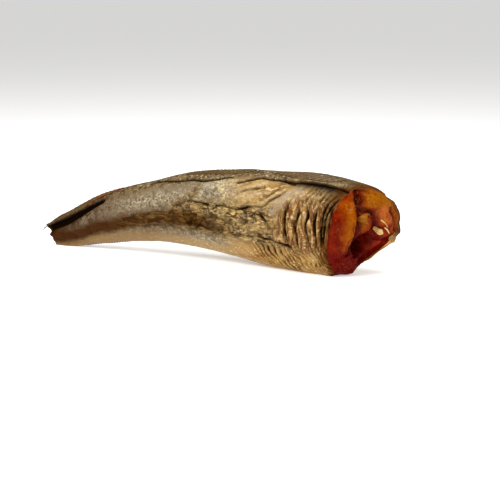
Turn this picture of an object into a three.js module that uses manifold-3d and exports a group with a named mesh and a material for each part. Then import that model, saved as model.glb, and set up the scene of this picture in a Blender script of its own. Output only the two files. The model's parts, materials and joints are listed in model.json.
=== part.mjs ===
// A smoked fish, headless and gutted, lying on its belly on a flat surface.
//
// Frame: millimetres, +Z up, +X from the tail towards the head cut, +Y to the fish's left.
// The origin is the middle of the bounding box's underside, so the fish rests on the plane z = 0.
//
// The body is one closed skin: it runs from the cut tail along the flanks to the rim of the head cut,
// turns inwards over the cut flesh, and goes back as the wall of the gutted belly cavity.
// The folded fins are thin blades that lie on the skin, and the bones stand in sockets in the flesh.

import * as THREE from "three";
import { mergeVertices } from "three/addons/utils/BufferGeometryUtils.js";
import Module from "manifold-3d";

const wasm = await Module();
wasm.setup();

// ---------------------------------------------------------------- driving dimensions
const LENGTH = 250; // tail cut to the middle of the head cut
const BEND = 3; // how far the middle of the body bows to the left of a line through its ends
const ROUNDNESS = 0.95; // exponent of the section's outline: 1 is an ellipse, and less is fuller
const KEEL = 0.15; // how much the belly narrows towards its keel, as a share of the width
const HOLLOW_LEFT = 1.15; // how far the gutted belly has fallen in on each side, added to that exponent
const HOLLOW_RIGHT = 0.05;
const FIN_GAP = 0.5; // clear space between a folded fin and the skin under it
const SOCKET_GAP = 0.3; // clear space round a bone in its socket

// Outline of the body: distance from the tail, belly height, back height, half width.
// A belly height below zero is pressed flat where the fish rests on the surface.
const STATIONS = [
  [0, -1.2, 22, 5],
  [11, -0.8, 27.5, 6.5],
  [39, 5.0, 42.5, 10],
  [80, 9.5, 53, 14.5],
  [114, 9.2, 62, 18],
  [145, 4.8, 65.8, 21],
  [183, -1.2, 67.2, 23.5],
  [213, -3.2, 67.2, 24.5],
  [243, -3.2, 62.6, 24.2],
  [270, -3.2, 54.5, 22],
];

// The head cut is a slanting, crowned surface. This is how far it lies in front of LENGTH at a place that
// many millimetres to the left of the section's centre and above it. The left flank and the nape reach
// furthest forward, and the left flap of the belly is cut shorter by FLAP_CUT.
const FLAP_CUT = 0.025;
const cutSurface = (side, up) => {
  const across = 0.673 * side - 0.0108 * side * side;
  const upwards = 0.24 * up - 0.01 * up * up;
  return across + upwards - 1 - FLAP_CUT * Math.max(side, 0) * Math.max(-up, 0);
};

// Mouth of the belly cavity in the cut: centre and half sizes, measured from the section's centre.
const MOUTH = { side: -3.5, up: -7, halfWidth: 6.8, halfHeight: 11, setBack: 3 };
const CAVITY_DEPTH = 75; // how far it reaches back from LENGTH

// Each folded fin: front and rear end of its base and of its free edge, as [distance, angle round the
// section], and its thickness. The free edge lies towards the tail, because the rays fold backwards.
const FINS = {
  first_dorsal_fin: { base: [[230, 99], [186, 97]], edge: [[222, 121], [172, 105]], thick: 1.1 },
  second_dorsal_fin: { base: [[164, 97], [116, 96]], edge: [[156, 115], [100, 104]], thick: 1.0 },
  third_dorsal_fin: { base: [[57, 97], [14, 93]], edge: [[48, 128], [-7, 118]], thick: 1.0 },
  first_anal_fin: { base: [[123, 275], [78, 276]], edge: [[115, 302], [62, 292]], thick: 0.9 },
  second_anal_fin: { base: [[60, 276], [24, 277]], edge: [[52, 316], [12, 306]], thick: 0.9 },
};

// ---------------------------------------------------------------- curves through a few points
// A smooth curve through points [x, y, ...]: cubic pieces whose slopes are the chords between neighbours.
function smooth(points, x, column = 1) {
  const last = points.length - 1;
  let i = 0;
  while (i < last - 1 && x > points[i + 1][0]) i++;
  const slope = (k) => {
    const a = points[Math.max(k - 1, 0)];
    const b = points[Math.min(k + 1, last)];
    return (b[column] - a[column]) / (b[0] - a[0]);
  };
  const [p, q] = [points[i], points[i + 1]];
  const span = q[0] - p[0];
  const t = (x - p[0]) / span;
  if (t < 0) return p[column] + slope(i) * (x - p[0]);
  if (t > 1) return q[column] + slope(i + 1) * (x - q[0]);
  const [t2, t3] = [t * t, t * t * t];
  return (
    (2 * t3 - 3 * t2 + 1) * p[column] +
    (t3 - 2 * t2 + t) * span * slope(i) +
    (3 * t2 - 2 * t3) * q[column] +
    (t3 - t2) * span * slope(i + 1)
  );
}

// ---------------------------------------------------------------- the body's own coordinates
const radians = (degrees) => (degrees * Math.PI) / 180;
const power = (value, exponent) => Math.sign(value) * Math.abs(value) ** exponent;

// Heading of the bowed centre line and its place, seen from above.
function centreLine(x) {
  const half = LENGTH / 2;
  const away = (x - half) / half;
  return { y: BEND * (1 - away * away), heading: Math.atan((-2 * BEND * away) / half) };
}

// A point from its distance along the body, and its place to the left of and above the section's centre.
function place(x, side, up) {
  const { y, heading } = centreLine(x);
  return new THREE.Vector3(x - side * Math.sin(heading), y + side * Math.cos(heading), middle(x) + up);
}

const belly = (x) => smooth(STATIONS, x, 1);
const back = (x) => smooth(STATIONS, x, 2);
const halfWidth = (x) => smooth(STATIONS, x, 3);
const middle = (x) => (belly(x) + back(x)) / 2;

// The section's outline at an angle: a rounded back, and a belly that narrows to its keel.
// Towards the head the gutted belly has dried and fallen in, more so on the left than on the right.
function section(x, angle) {
  const [c, s] = [Math.cos(radians(angle)), Math.sin(radians(angle))];
  const hollow = s < 0 ? (c > 0 ? HOLLOW_LEFT : HOLLOW_RIGHT) * s * s * (x / LENGTH) ** 4 : 0;
  const keel = s < 0 ? 1 - KEEL * s * s : 1;
  const side = halfWidth(x) * power(c, ROUNDNESS + hollow) * keel;
  return { side, up: ((back(x) - belly(x)) / 2) * power(s, ROUNDNESS + hollow) };
}

// The skin at a distance and angle, with nothing below the surface that the fish lies on.
function skin(x, angle) {
  const { side, up } = section(x, angle);
  const point = place(x, side, up);
  point.z = Math.max(point.z, 0);
  return point;
}

// Outward direction of the skin, from neighbouring points.
function outward(x, angle) {
  const along = skin(x + 1, angle).sub(skin(x - 1, angle));
  const round = skin(x, angle + 1).sub(skin(x, angle - 1));
  return round.cross(along).normalize();
}

// ---------------------------------------------------------------- closed meshes from grids
// A closed tube from rings of equal length: neighbouring rings are joined, and each end is fanned to its
// middle.
function tube(rings) {
  const around = rings[0].length;
  const points = rings.flat();
  const triangles = [];
  for (let r = 0; r + 1 < rings.length; r++) {
    for (let i = 0; i < around; i++) {
      const [a, b] = [r * around + i, r * around + ((i + 1) % around)];
      triangles.push([a, b, b + around], [a, b + around, a + around]);
    }
  }
  for (const [ring, first] of [[0, true], [rings.length - 1, false]]) {
    const centre = rings[ring].reduce((sum, p) => sum.add(p), new THREE.Vector3()).divideScalar(around);
    points.push(centre);
    for (let i = 0; i < around; i++) {
      const [a, b] = [ring * around + i, ring * around + ((i + 1) % around)];
      triangles.push(first ? [points.length - 1, b, a] : [points.length - 1, a, b]);
    }
  }
  return geometryOf(points, triangles);
}

function geometryOf(points, triangles) {
  const geometry = new THREE.BufferGeometry();
  geometry.setAttribute("position", new THREE.Float32BufferAttribute(points.flatMap((p) => p.toArray()), 3));
  geometry.setIndex(triangles.flat());
  return geometry;
}

// A geometry as a manifold-3d solid, turned the right way out if its faces point inwards.
function solidOf(geometry) {
  const merged = mergeVertices(geometry, 1e-4);
  const vertProperties = merged.attributes.position.array;
  const triVerts = new Uint32Array(merged.index.array);
  const solid = new wasm.Manifold(new wasm.Mesh({ numProp: 3, vertProperties, triVerts }));
  if (solid.volume() > 0) return solid;
  for (let i = 0; i < triVerts.length; i += 3) {
    [triVerts[i], triVerts[i + 1]] = [triVerts[i + 1], triVerts[i]];
  }
  return new wasm.Manifold(new wasm.Mesh({ numProp: 3, vertProperties, triVerts }));
}

function geometryFrom(solid) {
  const { vertProperties, triVerts, numProp } = solid.getMesh();
  const geometry = new THREE.BufferGeometry();
  const positions = new Float32Array((vertProperties.length / numProp) * 3);
  for (let i = 0; i * numProp < vertProperties.length; i++) {
    positions.set(vertProperties.subarray(i * numProp, i * numProp + 3), i * 3);
  }
  geometry.setAttribute("position", new THREE.BufferAttribute(positions, 3));
  geometry.setIndex(new THREE.BufferAttribute(triVerts, 1));
  return geometry;
}

// ---------------------------------------------------------------- body
const AROUND = 56; // points round every ring
const TIP = 0.2; // size of the cavity's last ring, as a share of its mouth
const ANGLES = Array.from({ length: AROUND }, (_, i) => (i * 360) / AROUND);

// A ring of skin at a share of the way from the tail to the head cut, slanting more and more as the cut does.
function ringOfSkin(share) {
  const blend = share * share * (3 - 2 * share);
  return ANGLES.map((angle) => {
    const { side, up } = section(LENGTH, angle);
    return skin(share * LENGTH + cutSurface(side, up) * blend, angle);
  });
}

// A ring of the cavity's wall at a share of the way from its mouth to its far end, where it narrows to a
// round tip.
function ringOfCavity(share) {
  const narrow = Math.sqrt(1 - (1 - TIP * TIP) * share * share);
  return ANGLES.map((angle) => {
    const side = MOUTH.side + MOUTH.halfWidth * narrow * Math.cos(radians(angle));
    const up = MOUTH.up + MOUTH.halfHeight * narrow * Math.sin(radians(angle));
    const mouthAt = LENGTH + cutSurface(side, up) - MOUTH.setBack;
    return place(mouthAt * (1 - share) + (LENGTH - CAVITY_DEPTH) * share, side, up);
  });
}

function makeBody() {
  const [alongSkin, acrossFace, alongCavity] = [46, 4, 9];
  const rings = [];
  for (let i = 0; i <= alongSkin; i++) rings.push(ringOfSkin(i / alongSkin));
  const rim = rings[rings.length - 1];
  const mouth = ringOfCavity(0);
  for (let i = 1; i < acrossFace; i++) {
    rings.push(rim.map((p, k) => p.clone().lerp(mouth[k], i / acrossFace)));
  }
  for (let i = 0; i <= alongCavity; i++) rings.push(ringOfCavity(i / alongCavity));
  return solidOf(tube(rings));
}

// ---------------------------------------------------------------- folded fins
// A blade on the skin between its base line and its free edge, thickest at the base and with closed sides.
const mix = (a, b, share) => a + (b - a) * share;

function makeFin({ base, edge, thick }) {
  const [along, across] = [14, 4];
  // The column-th coordinate at u from front to rear and v from the base to the free edge.
  const between = (column, u, v) =>
    mix(mix(base[0][column], base[1][column], u), mix(edge[0][column], edge[1][column], u), v);
  // A point of the blade's inner (0) or outer (1) side. It thins towards the free edge and both ends.
  const at = (u, v, outer) => {
    const [x, angle] = [between(0, u, v), between(1, u, v)];
    const thickness = thick * (1 - 0.45 * v) * (0.55 + 0.45 * Math.sin(Math.PI * u));
    return skin(x, angle).addScaledVector(outward(x, angle), FIN_GAP + outer * thickness);
  };
  const rings = [];
  for (let i = 0; i <= along; i++) {
    const ring = [];
    for (let j = 0; j <= across; j++) ring.push(at(i / along, j / across, 1));
    for (let j = across; j >= 0; j--) ring.push(at(i / along, j / across, 0));
    rings.push(ring);
  }
  return solidOf(tube(rings));
}

// ---------------------------------------------------------------- bones
// A tapering rod between two places on or in the cut flesh. Each end is [side, up, in front of the flesh].
function rod(from, to, radiusFrom, radiusTo, sides) {
  const point = ([side, up, proud]) => place(LENGTH + cutSurface(side, up) + proud, side, up);
  const [a, b] = [point(from), point(to)];
  const shape = new THREE.CylinderGeometry(radiusTo, radiusFrom, a.distanceTo(b), sides, 1);
  shape.deleteAttribute("normal");
  shape.deleteAttribute("uv");
  const direction = b.clone().sub(a).normalize();
  const turn = new THREE.Quaternion().setFromUnitVectors(new THREE.Vector3(0, 1, 0), direction);
  shape.applyQuaternion(turn);
  const centre = a.clone().add(b).multiplyScalar(0.5);
  shape.translate(centre.x, centre.y, centre.z);
  return shape;
}

// Each bone: its two ends, the radius at each end and the number of sides.
const BONES = {
  backbone_end: [[-5.5, 11.5, -9], [-5.5, 11.5, 1], 3.8, 3.8, 20],
  collar_bone_stub: [[4.4, 3.6, -5], [3.3, 1.8, 3], 1.9, 1.6, 12],
  rib_bone_upper: [[4.4, 11, -2.5], [6.8, 6, 1.5], 0.6, 0.45, 8],
  rib_bone_lower: [[7.2, 5.8, -2.5], [9.4, 1.2, 1.5], 0.55, 0.4, 8],
};

// ---------------------------------------------------------------- assembly
const SMOKED_SKIN = { color: 0x8a6a3c, roughness: 0.48, metalness: 0 };
const DRIED_FIN = { color: 0x5a3e1e, roughness: 0.55, metalness: 0 };
const BONE = { color: 0xd9b87a, roughness: 0.5, metalness: 0 };

function named(name, geometry, finish) {
  const mesh = new THREE.Mesh(geometry, new THREE.MeshStandardMaterial(finish));
  mesh.name = name;
  return mesh;
}

function makeFish() {
  const fish = new THREE.Group();
  let body = makeBody();
  for (const [name, [from, to, r1, r2, sides]] of Object.entries(BONES)) {
    const socket = rod(from, to, r1 + SOCKET_GAP, r2 + SOCKET_GAP, sides);
    body = body.subtract(solidOf(socket));
    // The bone stands clear of the bottom of its socket.
    const direction = to.map((v, i) => v - from[i]);
    const length = Math.hypot(...direction);
    const raised = from.map((v, i) => v + (direction[i] * SOCKET_GAP) / length);
    fish.add(named(name, rod(raised, to, r1, r2, sides), BONE));
  }
  fish.add(named("fish_body", geometryFrom(body), SMOKED_SKIN));
  for (const [name, fin] of Object.entries(FINS)) {
    fish.add(named(name, geometryFrom(makeFin(fin)), DRIED_FIN));
  }
  const box = new THREE.Box3().setFromObject(fish);
  const centre = box.getCenter(new THREE.Vector3());
  fish.position.set(-centre.x, -centre.y, -box.min.z);
  return fish;
}

export default makeFish();
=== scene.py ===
# %% [markdown]
# # A smoked fish, headless and gutted
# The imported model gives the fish's size, its pieces and where they lie. This script gives each piece the shape
# and finish that a small cod-like fish has after it was gutted, salted, hung over smoke and left to dry.
# The skin, the cut flesh and the belly cavity grew as one piece, so they are one closed mesh here.

# %% Load the frame
import itertools
import json
import math

import bmesh
import bpy
import numpy as np
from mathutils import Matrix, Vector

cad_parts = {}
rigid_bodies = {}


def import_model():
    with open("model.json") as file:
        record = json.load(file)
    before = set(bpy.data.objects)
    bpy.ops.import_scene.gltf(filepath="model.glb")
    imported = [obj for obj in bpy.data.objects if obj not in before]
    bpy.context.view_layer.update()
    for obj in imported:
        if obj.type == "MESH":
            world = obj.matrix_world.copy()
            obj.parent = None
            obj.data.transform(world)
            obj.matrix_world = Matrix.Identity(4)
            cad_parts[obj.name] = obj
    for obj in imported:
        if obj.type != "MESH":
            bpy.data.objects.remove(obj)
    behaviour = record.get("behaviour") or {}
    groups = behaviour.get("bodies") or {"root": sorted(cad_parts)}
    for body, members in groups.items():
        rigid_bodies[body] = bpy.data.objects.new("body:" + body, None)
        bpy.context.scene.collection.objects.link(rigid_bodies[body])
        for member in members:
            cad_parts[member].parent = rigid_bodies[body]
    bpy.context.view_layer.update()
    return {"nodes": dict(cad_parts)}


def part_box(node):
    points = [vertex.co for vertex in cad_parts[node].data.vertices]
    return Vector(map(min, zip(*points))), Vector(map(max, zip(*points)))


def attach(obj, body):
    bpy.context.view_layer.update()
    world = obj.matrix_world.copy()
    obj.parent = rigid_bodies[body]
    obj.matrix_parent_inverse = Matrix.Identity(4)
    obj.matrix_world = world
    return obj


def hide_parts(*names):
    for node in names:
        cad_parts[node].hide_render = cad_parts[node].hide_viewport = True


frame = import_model()
print("pieces in the frame:", sorted(frame["nodes"]))

# %% [markdown]
# ## The shape of the body
# A fish is a tube whose height, width and level change along its length. A loft through ten sections would
# do, and so would a sculpted mesh. Here the skin is a function of two numbers instead, the distance from the
# tail and the angle round the section, because every wrinkle can then be placed by the same two numbers.

# %% Driving dimensions, in millimetres and degrees
LENGTH = 250  # tail cut to the middle of the head cut
BEND = 3  # how far the middle of the body bows to the left
ROUNDNESS = 0.95  # exponent of the section's outline: 1 is an ellipse, and less is fuller
KEEL = 0.15  # how much the belly narrows towards its keel
HOLLOW = {"left": 1.15, "right": 0.05}  # how far the gutted belly has fallen in
STATIONS = np.array([  # distance from the tail, belly height, back height, half width
    [0, -1.2, 22, 5], [11, -0.8, 27.5, 6.5], [39, 5.0, 42.5, 10], [80, 9.5, 53, 14.5], [114, 9.2, 62, 18],
    [145, 4.8, 65.8, 21], [183, -1.2, 67.2, 23.5], [213, -3.2, 67.2, 24.5], [243, -3.2, 62.6, 24.2],
    [270, -3.2, 54.5, 22],
])
MOUTH = {"side": -1.8, "up": -7, "half_width": 6.2, "half_height": 11, "set_back": 2}
CAVITY_DEPTH = 75


# %% [markdown]
# ## Curves along the body
# The outline of a real fish has no corners, so height, width and level each run as a smooth curve through the
# stations. Curve objects could do that too. Formulas are used, because the head cut, the fins and the wrinkles
# all have to ask for the same surface at any place.

# %% Curves along the body
def along_body(x, column):
    """Height or width at distance x: a cubic between neighbouring stations whose slopes are the chords from
    the station before to the one after, and straight beyond the ends."""
    at, value = STATIONS[:, 0], STATIONS[:, column]
    number = np.arange(len(at))
    before, after = np.maximum(number - 1, 0), np.minimum(number + 1, len(at) - 1)
    slope = (value[after] - value[before]) / (at[after] - at[before])
    i = np.clip(np.searchsorted(at, x) - 1, 0, len(at) - 2)
    span = at[i + 1] - at[i]
    beyond = (x - at[i]) / span
    t = np.clip(beyond, 0, 1)
    cubic = (
        (2 * t**3 - 3 * t**2 + 1) * value[i] + (t**3 - 2 * t**2 + t) * span * slope[i]
        + (3 * t**2 - 2 * t**3) * value[i + 1] + (t**3 - t**2) * span * slope[i + 1]
    )
    return cubic + (beyond - t) * span * np.where(beyond < 0, slope[i], slope[i + 1])


def signed_power(value, exponent):
    """The size raised to the exponent, with the sign kept."""
    return np.sign(value) * np.abs(value) ** exponent


def section(x, angle):
    """Place to the left of and above the section's centre: an ellipse whose cosine and sine are raised to an
    exponent. The belly half narrows to its keel, and towards the head its exponent grows, so it falls in."""
    cosine, sine = np.cos(np.radians(angle)), np.sin(np.radians(angle))
    lower = np.where(sine < 0, sine**2, 0)
    fallen = np.where(cosine > 0, HOLLOW["left"], HOLLOW["right"])
    exponent = ROUNDNESS + fallen * lower * (np.maximum(x, 0) / LENGTH) ** 4
    side = along_body(x, 3) * signed_power(cosine, exponent) * (1 - KEEL * lower)
    up = (along_body(x, 2) - along_body(x, 1)) / 2 * signed_power(sine, exponent)
    return side, up


def place(x, side, up):
    """Point from its distance along the bowed centre line and its place to the left of and above it."""
    away = x / (LENGTH / 2) - 1
    heading = np.arctan(-2 * BEND * away / (LENGTH / 2))
    middle = (along_body(x, 1) + along_body(x, 2)) / 2
    bow = BEND * (1 - away**2)
    return np.stack([x - side * np.sin(heading), bow + side * np.cos(heading), middle + up], -1)


def plain_skin(x, angle):
    """The smooth skin at a distance and angle, pressed flat where it would reach below the surface."""
    point = place(x, *section(x, angle))
    point[..., 2] = np.maximum(point[..., 2], 0)
    return point


def outward(x, angle):
    """Unit normal of the smooth skin: the cross product of the steps round it and along it."""
    along = plain_skin(x + 1, angle) - plain_skin(x - 1, angle)
    around = plain_skin(x, angle + 1) - plain_skin(x, angle - 1)
    normal = np.cross(around, along)
    return normal / np.linalg.norm(normal, axis=-1, keepdims=True)


def head_cut(side, up):
    """How far the head cut lies in front of LENGTH: a slanting surface, crowned by two squares, and cut shorter
    at the left flap and at the near shoulder."""
    flap = 0.025 * np.maximum(side, 0) * np.maximum(-up, 0)
    shoulder = 0.018 * np.maximum(-side - 6, 0) * np.maximum(up - 10, 0)
    return 0.673 * side - 0.0108 * side**2 + 0.24 * up - 0.01 * up**2 - 1 - flap - shoulder


# %% [markdown]
# ## Chance, in a form that comes out the same each time
# Dried skin is never even. Blender has noise textures, but a mesh needs the numbers themselves, so smooth noise
# is made here from seeded random numbers on a lattice. The lattice fills space and not the skin's own two
# numbers, so nothing shows a seam where the angle starts again at nought.

# %% Noise and masks
TURNED = np.linalg.qr(np.random.default_rng(99).normal(size=(3, 3)))[0]  # three directions square to each other


def noise(points, size, seed):
    """Smooth noise from -1 to 1: random numbers on a lattice with cells of that size, blended between the
    eight corners of a cell by the smoothstep of the distance to them. The lattice is turned, so that none of
    its lines follows the body."""
    lattice = np.random.default_rng(seed).uniform(-1, 1, (32, 32, 32))
    cell = points @ TURNED / size
    low = np.floor(cell).astype(int)
    t = cell - low
    t = t * t * (3 - 2 * t)
    total = np.zeros(points.shape[:-1])
    for corner in itertools.product((0, 1), repeat=3):
        weight = np.prod(np.where(corner, t, 1 - t), axis=-1)
        i, j, k = np.moveaxis((low + corner) % 32, -1, 0)
        total += weight * lattice[i, j, k]
    return total


def step(value, low, high):
    """Smoothstep: 0 up to low, 1 from high on."""
    t = np.clip((value - low) / (high - low), 0, 1)
    return t * t * (3 - 2 * t)


def within(value, low, high, edge):
    """1 between low and high, and fading to 0 over the edge on both sides."""
    return step(value, low - edge, low + edge) * (1 - step(value, high - edge, high + edge))


def near_line(across, up, points, width):
    """1 on a broken line through the points and falling off beside it: a bell of the distance to it."""
    here = np.stack([across, up], -1)
    nearest = np.full(across.shape, np.inf)
    for a, b in zip(points, points[1:]):
        a, b = np.array(a, float), np.array(b, float)
        share = np.clip(((here - a) @ (b - a)) / ((b - a) @ (b - a)), 0, 1)
        nearest = np.minimum(nearest, np.linalg.norm(here - a - share[..., None] * (b - a), axis=-1))
    return np.exp(-((nearest / width) ** 2))


def veins(points, size, seed, width):
    """A net of fine meandering lines: a bell round the places where smooth noise passes through nought."""
    return np.exp(-((noise(points, size, seed) / width) ** 2))


# %% [markdown]
# ## Wrinkles, creases and colour zones of the skin
# Smoking and drying shrink the flesh, so the skin falls into folds: deep ones across the flank behind the
# head cut, a crumpled net in the middle, a sunken band along the tail half, and a crease beside the folded
# back fins. They could be sculpted by hand, or painted as bump. They are real relief here, worked out from
# where a place lies on the body, and the same masks are kept as attributes, so colour and shape agree.

# %% Where things lie on the flanks: [distance from the tail, degrees down from the back]
BAND = [[-6, 104], [14, 112], [27, 114], [50, 107], [77, 99], [98, 97], [128, 99], [150, 102]]
LATERAL_LINE = [[60, 112], [98, 109], [128, 106], [168, 105]]
TAIL_CREASE = [[-6, 62], [6, 59], [23, 54], [34, 50], [42, 46]]
BACK_CREASES = [
    [[88, 24], [112, 33], [125, 37], [137, 35], [149, 28]],
    [[155, 39], [165, 32], [172, 27], [185, 28], [198, 33]],
    [[185, 27], [200, 30], [216, 32], [238, 28]],
]
GREY_STREAK = [[185, 73], [190, 60], [197, 51], [204, 42]]
GREY_LINE = [[4, 124], [34, 126]]  # under the band at the tail
FLECKS = [[140, 36], [143, 48], [146, 60]]
END_OF_NET = [[106, 84], [114, 78], [119, 66], [122, 55]]  # where the crumpled middle runs up towards the back
WRINKLES = [  # the deep ones behind the head cut, from the back downwards
    [[196, 60], [194, 72], [195, 92], [196, 114]],
    [[208, 52], [204, 66], [202, 84], [206, 112]],
    [[217, 44], [211, 62], [210, 82], [213, 106]],
    [[225, 36], [219, 54], [216, 78], [218, 105]],
    [[231, 30], [225, 50], [222, 76], [222, 102]],
    [[237, 32], [229, 52], [225, 74], [223, 98]],
]
FLANK_CREASES = [
    [[118, 70], [128, 72], [136, 76], [148, 75], [157, 76], [168, 72], [177, 69], [181, 62], [188, 54],
     [193, 44]],
    [[156, 60], [166, 50], [176, 43]],
    [[175, 62], [178, 57], [184, 50], [187, 42]],
    [[166, 104], [178, 104], [187, 105], [199, 109]],
    [[176, 78], [180, 86], [184, 91]],
    [[168, 84], [173, 80], [179, 84]],
]
RIDGE_SPACING = 3.4  # between the ridges behind the head cut
BELLY_WRINKLE_SPACING = 3.8


# %% Measuring on the skin
def mm_per_degree(x):
    """Length of a degree round the section: the mean of its half width and half height, in radians."""
    return (along_body(x, 3) + (along_body(x, 2) - along_body(x, 1)) / 2) / 2 * np.pi / 180


def crease(x, down, points, width):
    """near_line on the skin, in millimetres along and round the body. The width may differ from place to
    place."""
    points = [[p[0], p[1] * mm_per_degree(np.array(float(p[0])))] for p in points]
    return near_line(x, down * mm_per_degree(x), points, width)


def deepest(x, down, creases, width):
    """Several creases together: at each place the greatest of them."""
    together = np.zeros(x.shape)
    for points in creases:
        together = np.maximum(together, crease(x, down, points, width))
    return together


def wandering(x, angle, points):
    """Distance from the tail and degrees down from the back. Noise shifts both a little, so that no fold runs
    straight, and the left flank's folds lie a little further back."""
    down = np.abs((angle + 90) % 360 - 180)
    x = x + np.where(np.cos(np.radians(angle)) > 0, 4, 0)
    x = x + 1.3 * noise(points, 10, 1) + 0.5 * noise(points, 4, 2)
    return x, np.clip(down + 2.5 * noise(points, 12, 3) + 1.0 * noise(points, 5, 4), 0, 180)


# %% [markdown]
# ## The skin, region by region
# A dried fish looks different from tail to head, so each region of the skin has a function of its own. Each
# gives three things: how far it lifts the skin in millimetres, how much painted shade darkens its colour in
# what is folded, and the colour zones that belong to it, from 0 to 1.

# %% The tail half
def tail_half(x, down):
    """The sunken band, the thin line along its lower edge, the crease beside the last back fin, and the pinched
    skin above that crease."""
    band = np.minimum(1.4 * crease(x, down, BAND, 3.6 + 0.8 * step(x, 40, 90)), 1)
    band = np.maximum(band, 0.6 * crease(x, down - 9, BAND, 5.0) * step(x, 60, 90)) * (1 - step(x, 118, 168))
    band = np.clip(band, 0, 1)
    sunken = crease(x, down, BAND, 4.0) * (1 - step(x, 100, 150))
    line = crease(x, down, LATERAL_LINE, 0.8)
    crease_width = 2.6 + 0.8 * step(x, 0, 16) - 1.9 * step(x, 20, 46)
    beside_fin = np.minimum(2.2 * crease(x, down, TAIL_CREASE, crease_width), 1)
    pinched = (1 - step(x, 40, 75)) * (1 - step(down, 40, 75))
    zones = {
        "band": band,
        "rust": (1 - step(x, 45, 75)) * band,
        "grey": np.maximum(crease(x, down, GREY_STREAK, 3.2), crease(x, down, GREY_LINE, 1.5)),
        "tail": (1 - step(x, 28, 85)) * (1 - step(down, 112, 124)),
        # painted shade along the lower edge of the tail half
        "painted_underside_shade": step(down, 112, 126) * (1 - step(x, 70, 130)),
    }
    # The second value is painted shade: dark colour in the crease beside the last back fin and along the thin
    # line.
    return -1.5 * sunken - 0.3 * line - 2.6 * beside_fin - 1.6 * pinched, beside_fin + 0.35 * line, zones


# %% The back and the upper flank
def upper_flank(x, down):
    """The creases beside the folded fins, the shaded fold under the edge of the back, and long soft folds that
    run up towards the head: noise stretched along lines that slope towards the back."""
    beside_fins = deepest(x, down, BACK_CREASES, 1.0)
    under = np.clip((down - 32) / (12 + 9 * step(x, 200, 235)), 0, 1)
    fold = step(x, 178, 208) * step(down, 26, 30) * np.clip(1.3 * (1 - under), 0, 1)
    along, over = x / 24, (x * 0.55 + (down - 40) * mm_per_degree(x)) / 3.2
    soft = noise(np.stack([along, over, 0 * x], -1), 1, 14)
    upper = within(x, 150, 244, 10) * within(down, 34, 78, 8)
    zones = {
        "fold": fold,
        "back": 1 - step(down, 22, 36 + 30 * (1 - step(x, 110, 150))),
        "nape": 0.8 * step(x, 190, 235) * (1 - step(down, 22, 36)),
        "fleck": crease(x, down, FLECKS, 3.4),
        "streak": np.clip(0.5 + soft, 0, 1) * upper,
    }
    # The second value is painted shade in the creases beside the fins; the fold zone is painted shade under the
    # back's edge.
    return 0.5 * soft * upper - 1.6 * beside_fins - 0.9 * fold, beside_fins, zones


# %% Behind the head cut
def behind_head_cut(x, down, points):
    """Deep wrinkles across the flank, and between them ridges, which are the cube of a raised cosine. Both lean
    towards the head near the back. The ridges next to the cut are the darkest."""
    slits = deepest(x, down, WRINKLES, 1.0)
    slits *= (0.85 + 0.5 * noise(points, 6, 17)) * (1 - 0.4 * step(x, 218, 230))
    wrinkles = slits * within(down, 64, 104, 12)
    lean = 11 * (np.maximum(80 - down, 0) / 47) ** 1.3
    here = within(x - lean, 192, 262, 6) * within(down, 40, 112, 12)
    ridges = 0.5 + 0.5 * np.cos(2 * np.pi * (x - lean + 1.5 * noise(points, 9, 8)) / RIDGE_SPACING)
    creased = np.clip(ridges**3 * here * (0.7 + 1.1 * noise(points, 5, 18)), 0, 1)
    next_to_cut = within(x, 222, 262, 8) * within(down, 50, 96, 10)
    next_to_cut *= np.clip(0.25 + 0.6 * ridges + 0.9 * noise(points, 4, 38), 0, 1)
    lift = 0.4 * here - 0.8 * creased - 1.7 * wrinkles - 0.5 * slits
    # The shade is painted shade in the colour: in the wrinkles, slits and creases, and most next to the cut.
    shade = 0.95 * wrinkles + 0.3 * slits + 0.55 * creased + 0.6 * next_to_cut
    return lift, shade, {"shrunk": within(x - lean, 186, 262, 8) * within(down, 50, 122, 14)}


# %% The crumpled middle
def crumpled_middle(x, down, points):
    """Lumps with a net of fine lines between them, and the single creases of the flank."""
    crumpled = within(x, 112, 190, 10) * within(down, 70, 114, 8)
    crumpled = np.maximum(crumpled, crease(x, down, END_OF_NET, 3.6))
    net = np.maximum(veins(points, 8, 10, 0.10), 0.8 * veins(points, 4.5, 11, 0.14)) * crumpled
    lumps = crumpled * (0.8 * noise(points, 7, 12) + 0.4 * noise(points, 3, 15) - 0.5 * net)
    folds = deepest(x, down, FLANK_CREASES, 0.75) * (0.65 + 0.6 * noise(points, 7, 16))
    # The second value is painted shade along the net's lines and in the creases.
    return lumps - 1.0 * folds, 0.5 * net + folds, {"crumple": crumpled}


# %% The belly
def belly(x, down, left_side):
    """The left flank, sunken under the flap beside the head cut, and the gutting slit along the keel, drawn
    together again: a bell of the distance to the keel."""
    left = left_side * step(x, 205, 245)
    slit = within(x, 70, 252, 6) * np.exp(-(((down - 180) * mm_per_degree(x) / 1.3) ** 2))
    lift = -3.0 * left * within(down, 104, 152, 8) + 0.8 * left * within(down, 88, 100, 5) - 2.0 * slit
    starts, whole = np.where(x < 150, 122, 108), np.where(x < 150, 146, 136)
    zones = {
        "belly": np.maximum(step(down, starts, whole), left * step(down, 94, 106)),
        "gold": step(x, 136, 178),
    }
    # The second value is painted shade along the gutting slit.
    return lift, 0.8 * slit, zones


def belly_wrinkles(x, down, points):
    """Small slanting wrinkles on the lower flank and belly: the cube of a raised cosine, thinned by noise."""
    slant = (x - 0.55 * (down - 110) * mm_per_degree(x)) / BELLY_WRINKLE_SPACING + 0.8 * noise(points, 7, 9)
    wrinkles = (0.5 + 0.5 * np.cos(2 * np.pi * slant)) ** 3 * (0.8 + 1.1 * noise(points, 5, 13))
    return np.clip(wrinkles * within(x, 172, 246, 12) * within(down, 108, 150, 10), 0, 1)


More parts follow.
